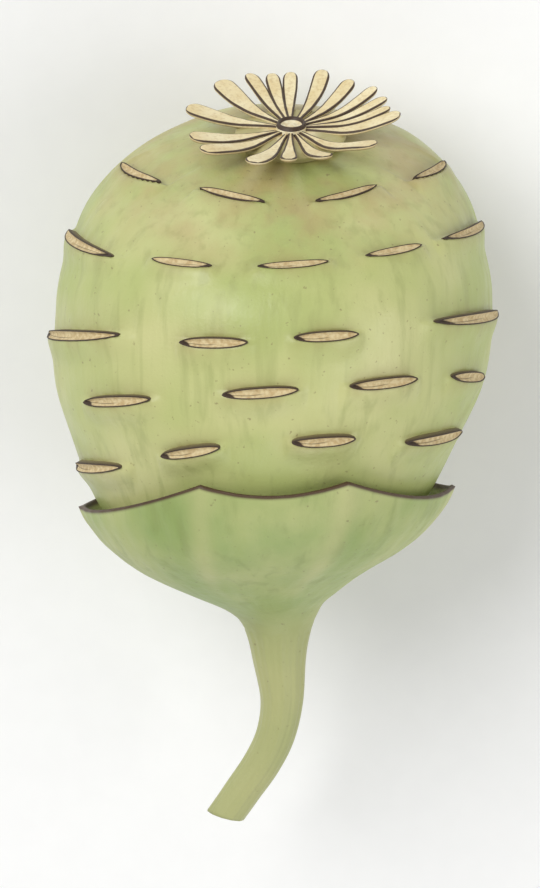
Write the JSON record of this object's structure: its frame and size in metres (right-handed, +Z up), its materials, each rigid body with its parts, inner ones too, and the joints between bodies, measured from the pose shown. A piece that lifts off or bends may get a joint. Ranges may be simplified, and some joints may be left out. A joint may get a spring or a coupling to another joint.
{
  "type": "water lily seed pod",
  "caption": "Ripe water lily fruit lying on its side: a round pod with rows of transverse scars, a crown of strap-shaped rays, a scalloped calyx cup and a curved cut stem",
  "frame": {"origin": "On the small flat spot of the pod's belly that it rests on, straight under the pod's axis at its widest ring; the surface it lies on is z = 0", "axes": "+Y runs along the pod's axis from the stem to the crown, +Z is up and is the side that the drawing shows, +X is to the right as drawn"},
  "size_m": [0.0362, 0.0616, 0.0355],
  "materials": {
    "pod_skin": "satin",
    "crown_rays": "matte",
    "calyx_green": "satin",
    "stem_green": "satin"
  },
  "bodies": {
    "root": {"pod_body": "pod_skin", "stigma_crown": "crown_rays", "calyx_cup": "calyx_green", "stem": "stem_green"}
  },
  "joints": []
}
